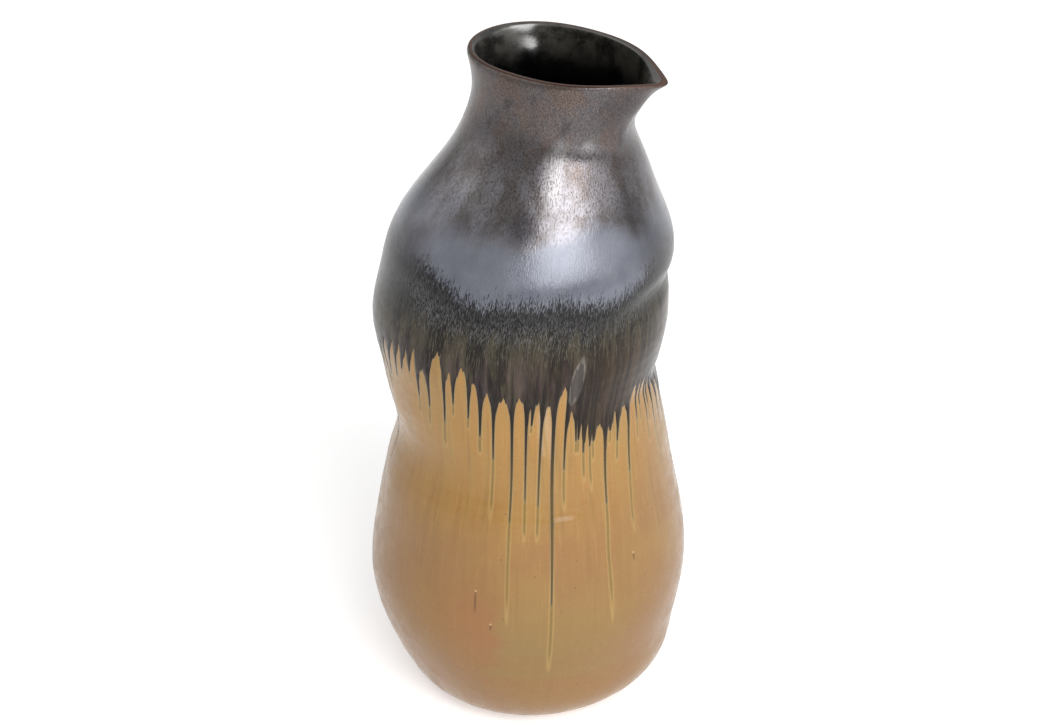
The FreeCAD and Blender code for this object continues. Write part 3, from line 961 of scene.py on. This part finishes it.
def pool_share(flow, height):
    """Where the tan glaze pooled thicker and yellower, low on the front."""
    wave = 2.0 * np.sin(height / 7.0) + 1.2 * np.sin(height / 2.9 + 1.0)
    left = turn_between(flow, POOL_LEFT[0]) - POOL_SLANT * (height - POOL_SLANT_FROM) + wave
    right = -turn_between(flow, POOL_RIGHT[0]) - 0.2 * wave
    top = POOL_TOP[0] - height
    bottom = height - POOL_BOTTOM[0] + 3.0 * wave
    across = soft_step(left / POOL_LEFT[1]) * soft_step(right / POOL_RIGHT[1])
    return across * soft_step(top / POOL_TOP[1]) * soft_step(bottom / POOL_BOTTOM[1])


# Painted reflection: pale streaks in the lower glaze between the fingers, each a chain of points: turn,
# height, half width
PAINTED_REFLECTIONS = (
    ((-43.2, 250, 0.8), (-43.6, 236, 2.2), (-42.6, 214, 2), (-44, 200, 1)),
    ((-46.4, 238, 0.6), (-46.2, 222, 1.4), (-46.2, 208, 0.6)),
)
PAINTED_REFLECTION_SOFTNESS = 0.9


def painted_reflection_share(flow, height):
    """How strongly a painted reflection streak shows between the fingers, 0 to 1."""
    share = 0.0
    for chain in PAINTED_REFLECTIONS:
        for start, end in zip(chain, chain[1:]):
            first = flow_turn(start[0], start[1], backwards=True)
            last = flow_turn(end[0], end[1], backwards=True)
            run = np.array([arc(last, first, WRAP_RADIUS), end[1] - start[1]])
            across = arc(flow, first, WRAP_RADIUS)
            up = height - start[1]
            along = np.clip((across * run[0] + up * run[1]) / (run @ run), 0.0, 1.0)
            away = np.hypot(across - along * run[0], up - along * run[1])
            width = start[2] + along * (end[2] - start[2])
            share = np.maximum(share, soft_step((width - away) / PAINTED_REFLECTION_SOFTNESS))
    return share


def make_tan_coat(material):
    """The lower glaze: its outer skin from the foot up under the fringe, and its back against the clay."""
    foot_rows = TAN_BOTTOM + np.array(TAN_FOOT_ROWS)
    low_rows = even_rows(TAN_BOTTOM + TAN_FOOT, TAN_FRINGE, TAN_STEP)
    high_rows = even_rows(TAN_FRINGE, TAN_TOP, TAN_FRINGE_STEP)
    front_rows = np.concatenate([foot_rows, low_rows, high_rows, [TAN_TOP]])
    back_rows = np.append(even_rows(TAN_BOTTOM, TAN_TOP, TAN_INNER_STEP), TAN_TOP)[::-1]
    flow, height = grid(np.append(front_rows, back_rows))
    at_back = np.arange(len(flow)) >= len(front_rows) * COLUMNS
    wave = FOOT_WAVE * np.cos(np.radians(FOOT_WAVES * flow + FOOT_WAVE_PHASE))
    wave = np.where(at_back, 0.0, wave * np.exp((TAN_BOTTOM - height) / FOOT_WAVE_FADE))
    drawn_in = np.where(at_back, GLAZE_COAT, FOOT_ROUND * np.exp((TAN_BOTTOM - height) / FOOT_ROUND_FADE))
    attributes = {
        "wrap": wrap_of(flow, height),
        "level": height,
        "edge": fringe_edge(flow, height),
        "tail": tail_strength(flow, height),
        "pool": pool_share(flow, height),
        "rose": soft_spot(flow, height, *ROSE),
        "painted_reflection": painted_reflection_share(flow, height),
    }
    points = coat_points(flow, height + wave, -drawn_in)
    faces = ring_faces(len(front_rows) + len(back_rows), COLUMNS, True)
    new_piece("tan_coat", points, faces, material, ["tan_glaze"], attributes)


# ---- bronze coat

BRONZE_LOWEST = 50.0
BRONZE_STEP = 3.0
BRONZE_FRINGE = 170.0
BRONZE_FRINGE_STEP = 1.5
BRONZE_FULL = 285.0
BRONZE_UPPER_STEP = 4.2
BRONZE_NECK = 400.0
BRONZE_NECK_STEP = 2.5
LIP_ANGLES = (0, 14, 28, 42, 55, 66, 76, 85)
BRONZE_PROUD = 0.38
BRONZE_RIM = 0.05
BRONZE_FEATHER = 1.3
BRONZE_BACK = -0.45
BREAK_THINNING = 1.05
BREAK_START = VASE_HEIGHT - 4.0
BREAK_BACK_SHARE = 0.4

# Clouds of the upper glaze: turn, height, spread around, spread up and down, strength, darker where
# positive and lighter where negative. The lighter spots at turns -51, -44 and -27 are painted highlight on
# the shoulder and below the neck, the dark spot at -61 is painted shade along that highlight's left edge,
# and the dark spot at -28 dims the highlight's right part.
CLOUDS = (
    (-61, 351, 9, 9, 1.1),
    (-80, 380, 12, 14, 0.25),
    (-51, 374, 7, 17, -0.9),
    (-44, 388, 9, 6, -0.6),
    (-27, 390, 6, 7, -0.9),
    (-114, 290, 17, 15, 0.9),
    (16, 292, 16, 12, 0.7),
    (-28, 372, 11, 16, 0.55),
    (-6, 352, 12, 15, 0.6),
    (-100, 366, 16, 12, -0.6),
    (-38, 330, 20, 8, -0.4),
    (-116, 326, 18, 18, 0.8),
    (10, 322, 20, 20, 0.8),
    (8, 408, 26, 20, 0.85),
    (-15, 413, 13, 15, 0.6),
    (-100, 398, 14, 18, 0.3),
    (30, 372, 18, 14, 0.5),
    (74, 350, 20, 12, 0.7),
    (120, 366, 16, 15, -0.5),
    (160, 352, 18, 13, 0.8),
    (205, 372, 16, 14, 0.6),
    (232, 346, 14, 10, -0.5),
)

# Warmer brown parts above the fringe: turn, spread around
WARM_PARTS = (
    (-12, 34),
    (128, 40),
)

# How far the pale band hangs down: turn, millimetres
BAND_SAGS = (
    (-127, -4),
    (-113, -2),
    (-99, -0.5),
    (-88, 4),
    (-78, 10),
    (-64, 9),
    (-48, 8.5),
    (-34, 11),
    (-20, 14),
    (-10, 11.5),
    (1, 3),
    (10, -1),
    (24, -1),
    (62, 5),
    (96, 0),
    (140, 7),
    (188, 1),
)


def band_sag(flow):
    """How much lower than usual the pale band ends at a turn."""
    turns, drops = zip(*BAND_SAGS)
    return np.interp(flow, turns, drops, period=360.0)


def bronze_rows():
    """Heights of the upper coat's rows, close together through the fringe and over the lip."""
    return np.concatenate(
        [
            even_rows(BRONZE_LOWEST, BRONZE_FRINGE, BRONZE_STEP),
            even_rows(BRONZE_FRINGE, BRONZE_FULL, BRONZE_FRINGE_STEP),
            even_rows(BRONZE_FULL, BRONZE_NECK, BRONZE_UPPER_STEP),
            even_rows(BRONZE_NECK, LIP_BASE, BRONZE_NECK_STEP),
            LIP_BASE + LIP_ROUND * np.sin(np.radians(LIP_ANGLES)),
        ]
    )


def lip_inset(height):
    """How far the coat curls inwards over the rounded lip."""
    return LIP_EDGE * (1.0 - np.sqrt(1.0 - ramp(height, LIP_BASE, VASE_HEIGHT) ** 2))


def lip_thinning(height):
    """How much thinner the coat gets where it breaks over the lip."""
    return BREAK_THINNING * ramp(height, BREAK_START, VASE_HEIGHT) ** 2


def cut_grid(values, columns):
    """Faces of a grid wrapped round the vase where values are above zero, cut along the zero line.

    Returns the faces, the cut points as pairs of grid points with a share, and the cut and top edges.
    """
    kept = []
    cuts = {}
    rim = []
    total = len(values)
    positive = values > 0.0

    def cut_between(a, b):
        low, high = min(a, b), max(a, b)
        if (low, high) not in cuts:
            share = values[low] / (values[low] - values[high])
            cuts[(low, high)] = (total + len(cuts), min(max(share, 0.05), 0.95))
        return cuts[(low, high)][0]

    for here in range(total - columns):
        beside = here + 1 if (here + 1) % columns else here + 1 - columns
        corners = (here, beside, beside + columns, here + columns)
        inside = [positive[corner] for corner in corners]
        if all(inside):
            kept.append(corners)
        elif any(inside):
            outline = []
            for index, corner in enumerate(corners):
                following = (index + 1) % 4
                if inside[index]:
                    outline.append(corner)
                if inside[index] != inside[following]:
                    outline.append(cut_between(corner, corners[following]))
            kept.append(tuple(outline))
            sides = zip(outline, outline[1:] + outline[:1])
            rim.extend((a, b) for a, b in sides if a >= total and b >= total)
    top = total - columns
    rim.extend((top + (column + 1) % columns, top + column) for column in range(columns))
    return kept, cuts, rim


def patch_share(flow, height):
    """Clouds in the upper glaze: positive where it is darker, negative where it is lighter; a few lighter
    spots are painted highlight and one dark spot beside them is painted shade.
    """
    return sum(strength * soft_spot(flow, height, *place) for *place, strength in CLOUDS)


def warm_share(flow):
    """Where the streaked glaze above the fringe is a warmer brown."""
    return sum(np.exp(-((turn_between(flow, turn) / spread) ** 2)) for turn, spread in WARM_PARTS)


# The lens-shaped mark of a fingertip: turn, height, half size around, half size up and down, slant
MARK = (-31.8, 258.0, 3.4, 14.5, 0.15)
FAR_FROM_MARK = 3.0


def finger_mark(flow, height):
    """Distance from the fingertip's mark in the upper glaze, 1 on its outline."""
    turn, level, half_width, half_height, slant = MARK
    up = height - level
    around = arc(flow, turn, WRAP_RADIUS) - slant * up
    return np.minimum(np.hypot(around / half_width, up / half_height), FAR_FROM_MARK)


def bronze_sheet():
    """The upper coat cut along its fringe: its points' flow, height and edge distance, faces, rim edges."""
    flow, height = grid(bronze_rows())
    edge = np.where(height > BRONZE_FULL, EDGE_LIMIT, fringe_edge(flow, height))
    faces, cuts, rim = cut_grid(edge, COLUMNS)
    first, second = np.array(list(cuts)).T
    shares = np.array([share for _, share in cuts.values()])
    flow = np.append(flow, flow[first] + turn_between(flow[second], flow[first]) * shares)
    height = np.append(height, height[first] + (height[second] - height[first]) * shares)
    edge = np.append(edge, np.zeros(len(shares)))
    used = np.unique(np.concatenate([np.array(face) for face in faces]))
    number = np.full(len(flow), -1)
    number[used] = np.arange(len(used))
    faces = [tuple(number[list(face)].tolist()) for face in faces]
    return flow[used], height[used], edge[used], faces, number[np.array(rim)]


def make_bronze_coat(material):
    """The upper glaze: a thin coat that ends in a fringe of fingers on the tan one, with real thickness."""
    flow, height, edge, front, rim = bronze_sheet()
    count = len(flow)
    proud = BRONZE_RIM + BRONZE_PROUD * (1.0 - np.exp(-np.clip(edge, 0.0, None) / BRONZE_FEATHER))
    inset = lip_inset(height)
    outer = coat_points(flow, height, proud - inset - lip_thinning(height))
    inner = coat_points(flow, height, BRONZE_BACK - inset - BREAK_BACK_SHARE * lip_thinning(height))
    back = [tuple(i + count for i in reversed(face)) for face in front]
    walls = np.column_stack([rim[:, ::-1], rim + count])
    on_rim = np.zeros(2 * count, bool)
    on_rim[walls] = True
    values = {
        "wrap": wrap_of(flow, height),
        "level": height,
        "edge": edge,
        "patch": patch_share(flow, height),
        "sag": band_sag(flow),
        "run": run_strength(flow, height),
        "warm": warm_share(flow),
        "mark": finger_mark(flow, height),
    }
    attributes = {name: np.concatenate([value, value]) for name, value in values.items()}
    points = np.concatenate([outer, inner])
    faces = front + back + walls.tolist()
    replaced = ["bronze_glaze", "glaze_runs"]
    new_piece("bronze_coat", points, faces, material, replaced, attributes, on_rim)


# ---- inside glaze

LINER_COLUMNS = 240
LINER_STEP = 3.5
LINER_FLOOR_RINGS = 5
LINER_CORNER_RINGS = 6
ROLL_TURN = 147.0
ROLL_HEIGHT = 411.0
ROLL_SPREAD = 10.0
ROLL_ABOVE = 10.0
ROLL_BELOW = 24.0
ROLL_DEPTH = 3.2


def roll_depth(turn, height):
    """Depth of the soft roll of glaze inside the neck, below the rear of the mouth."""
    spread = ROLL_ABOVE if height > ROLL_HEIGHT else ROLL_BELOW
    return ROLL_DEPTH * soft_spot(turn, height, ROLL_TURN, ROLL_HEIGHT, ROLL_SPREAD, spread)


def liner_rings(coat):
    """Rings of the inside, from the middle of the floor up to the lip, narrowed by a coat."""
    turn = 360.0 * np.arange(LINER_COLUMNS) / LINER_COLUMNS
    corner_top = FLOOR_TOP + CORNER_ROUND
    overhang = inside_radius(180.0, corner_top) - FLOOR_RADIUS
    at_corner = inside_radius(turn, corner_top)
    rings = []
    for index in range(LINER_FLOOR_RINGS):
        share = (index + 0.05) / LINER_FLOOR_RINGS
        rings.append(wall_points(turn, FLOOR_TOP + coat, (at_corner - overhang - coat) * share))
    for index in range(LINER_CORNER_RINGS):
        angle = 0.5 * math.pi * index / LINER_CORNER_RINGS
        height = corner_top - (CORNER_ROUND - coat) * math.cos(angle)
        rings.append(wall_points(turn, height, at_corner - overhang * (1.0 - math.sin(angle)) - coat))
    for height in np.append(even_rows(corner_top, LIP_BASE, LINER_STEP), LIP_BASE):
        swell = roll_depth(turn, height) * min(1.0, coat / LINER_COAT)
        rings.append(wall_points(turn, height, inside_radius(turn, height) - coat - swell))
    for angle in np.radians(LIP_ANGLES[1:]):
        height = LIP_BASE + LIP_ROUND * math.sin(angle)
        outwards = LIP_EDGE * (1.0 - math.cos(angle)) - coat * math.cos(angle)
        rings.append(wall_points(turn, height, inside_radius(turn, height) + outwards))
    return rings


def make_liner(material):
    """The inside glaze: its shiny skin, and its back against the clay."""
    rings = liner_rings(LINER_COAT) + liner_rings(0.02)[::-1]
    points = np.concatenate(rings)
    faces = [tuple(reversed(face)) for face in ring_faces(len(rings), LINER_COLUMNS, False)]
    faces.append(tuple(range(LINER_COLUMNS)))
    last = (len(rings) - 1) * LINER_COLUMNS
    faces.append(tuple(range(last + LINER_COLUMNS - 1, last - 1, -1)))
    attributes = {"level": points[:, 2]}
    new_piece("liner_coat", points, faces, material, ["liner_glaze"], attributes)


# ---- stage, light and camera

CAMERA_AZIMUTH = -54.0
CAMERA_RISE = 30.0
CAMERA_DISTANCE = 1.6
CAMERA_AIM = Vector((0.0, 0.0, 0.2247))
SENSOR_WIDTH = 36.0
CAMERA_LENS = 88.77
FLOOR_SIZE = 14.0
WORLD_STRENGTH = 0.52
LIGHT_DISTANCE = 2.3

# Soft lights that face the vase: name, azimuth, elevation, width, height, power
LIGHTS = (
    ("softbox", -31, 33, 1.6, 1.6, 58),
    ("edge_softbox", -1.5, 27, 0.9, 0.8, 4.5),
    ("side_softbox", 8, 14, 2.0, 0.5, 3.5),
    ("left_fill", -157, 18, 1.8, 1.2, 5),
    ("left_top_softbox", -140, 52, 1.6, 1.2, 5),
)


def make_floor(material):
    """Wide floor under the vase."""
    mesh = bpy.data.meshes.new("floor")
    half = FLOOR_SIZE / 2.0
    corners = [(-half, -half, 0.0), (half, -half, 0.0), (half, half, 0.0), (-half, half, 0.0)]
    mesh.from_pydata(corners, [], [(0, 1, 2, 3)])
    mesh.materials.append(material)
    floor = bpy.data.objects.new("floor", mesh)
    bpy.context.scene.collection.objects.link(floor)


def place_facing(thing, azimuth, elevation, distance):
    """Put a light or camera at an azimuth and elevation in the frame, in degrees, facing the vase."""
    around = math.radians(azimuth)
    up = math.radians(elevation)
    away = Vector((math.cos(around) * math.cos(up), math.sin(around) * math.cos(up), math.sin(up)))
    thing.location = CAMERA_AIM + away * distance
    thing.rotation_euler = away.to_track_quat("Z", "Y").to_euler()
    bpy.context.scene.collection.objects.link(thing)


def add_light(name, azimuth, elevation, width, height, power):
    """Soft rectangular light that faces the vase."""
    data = bpy.data.lights.new(name, "AREA")
    data.shape = "RECTANGLE"
    data.size = width
    data.size_y = height
    data.energy = power
    place_facing(bpy.data.objects.new(name, data), azimuth, elevation, LIGHT_DISTANCE)


def make_world():
    """Even white surroundings."""
    world = bpy.data.worlds.new("surroundings")
    world.use_nodes = True
    background = world.node_tree.nodes["Background"]
    background.inputs["Color"].default_value = rgb(1000, 1000, 1000)
    background.inputs["Strength"].default_value = WORLD_STRENGTH
    bpy.context.scene.world = world


def make_camera():
    """Camera at the height and side that the vase is seen from."""
    data = bpy.data.cameras.new("camera")
    data.sensor_fit = "HORIZONTAL"
    data.sensor_width = SENSOR_WIDTH
    data.lens = CAMERA_LENS
    camera = bpy.data.objects.new("camera", data)
    place_facing(camera, CAMERA_AZIMUTH, CAMERA_RISE, CAMERA_DISTANCE)
    bpy.context.scene.camera = camera


# ---- the scene

bare_clay = clay_material("bare_clay_look", rgb(300, 170, 100), rgb(380, 230, 140), 0.82)
lip_clay = clay_material("lip_clay_look", rgb(40, 18, 12), rgb(75, 32, 20), 0.36)

for node_name in ("foot_ring", "floor_slab", "lower_wall", "upper_wall"):
    nodes[node_name].material_slots[0].material = bare_clay
nodes["neck_collar"].material_slots[0].material = lip_clay

make_tan_coat(tan_material())
make_bronze_coat(bronze_material())
make_liner(liner_material())

make_floor(floor_material())
make_world()
for light in LIGHTS:
    add_light(*light)
make_camera()
bpy.context.scene.view_settings.view_transform = "Standard"
